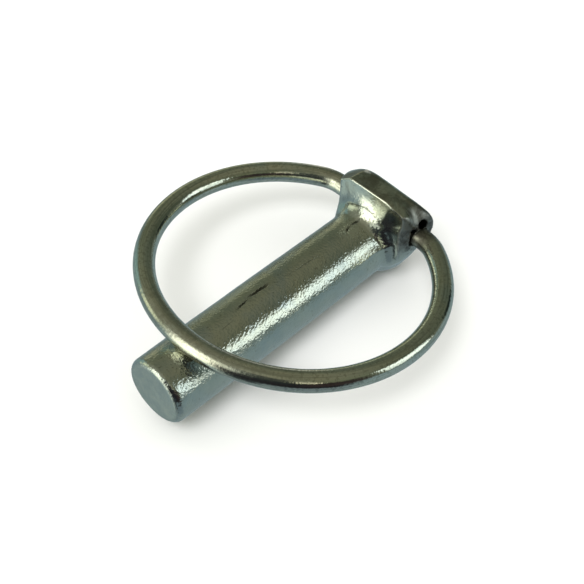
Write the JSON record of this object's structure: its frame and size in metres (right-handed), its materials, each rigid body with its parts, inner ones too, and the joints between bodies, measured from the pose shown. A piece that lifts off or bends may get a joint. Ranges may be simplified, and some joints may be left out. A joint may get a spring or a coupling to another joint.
{
  "type": "linch pin with round spring ring",
  "caption": "Forged linch pin with an offset head and a round spring-wire ring that swings on the head and closes over the shank.",
  "frame": {"origin": "on the shank's axis, where the shoulder fillet ends and the straight shank begins", "axes": "+X along the shank from the head to the free tip, the way the part that the pin goes through comes off; +Z to the side of the shank that the closed ring lies on; +Y completes the right-handed frame, along the ring's hinge"},
  "size_m": [0.0526, 0.0488, 0.0174],
  "materials": {
    "forged_pin": "zinc-plated forging, satin to bright",
    "spring_ring": "zinc-plated spring wire, bright"
  },
  "bodies": {
    "pin": {"forged_pin": "forged_pin"},
    "ring": {"spring_ring": "spring_ring"}
  },
  "joints": [
    {"name": "ring_hinge", "type": "hinge", "parent": "pin", "child": "ring", "pos_m": [-0.0065, 0, 0.00389], "axis": [0, -1, 0], "range_deg": [0, 340]}
  ]
}
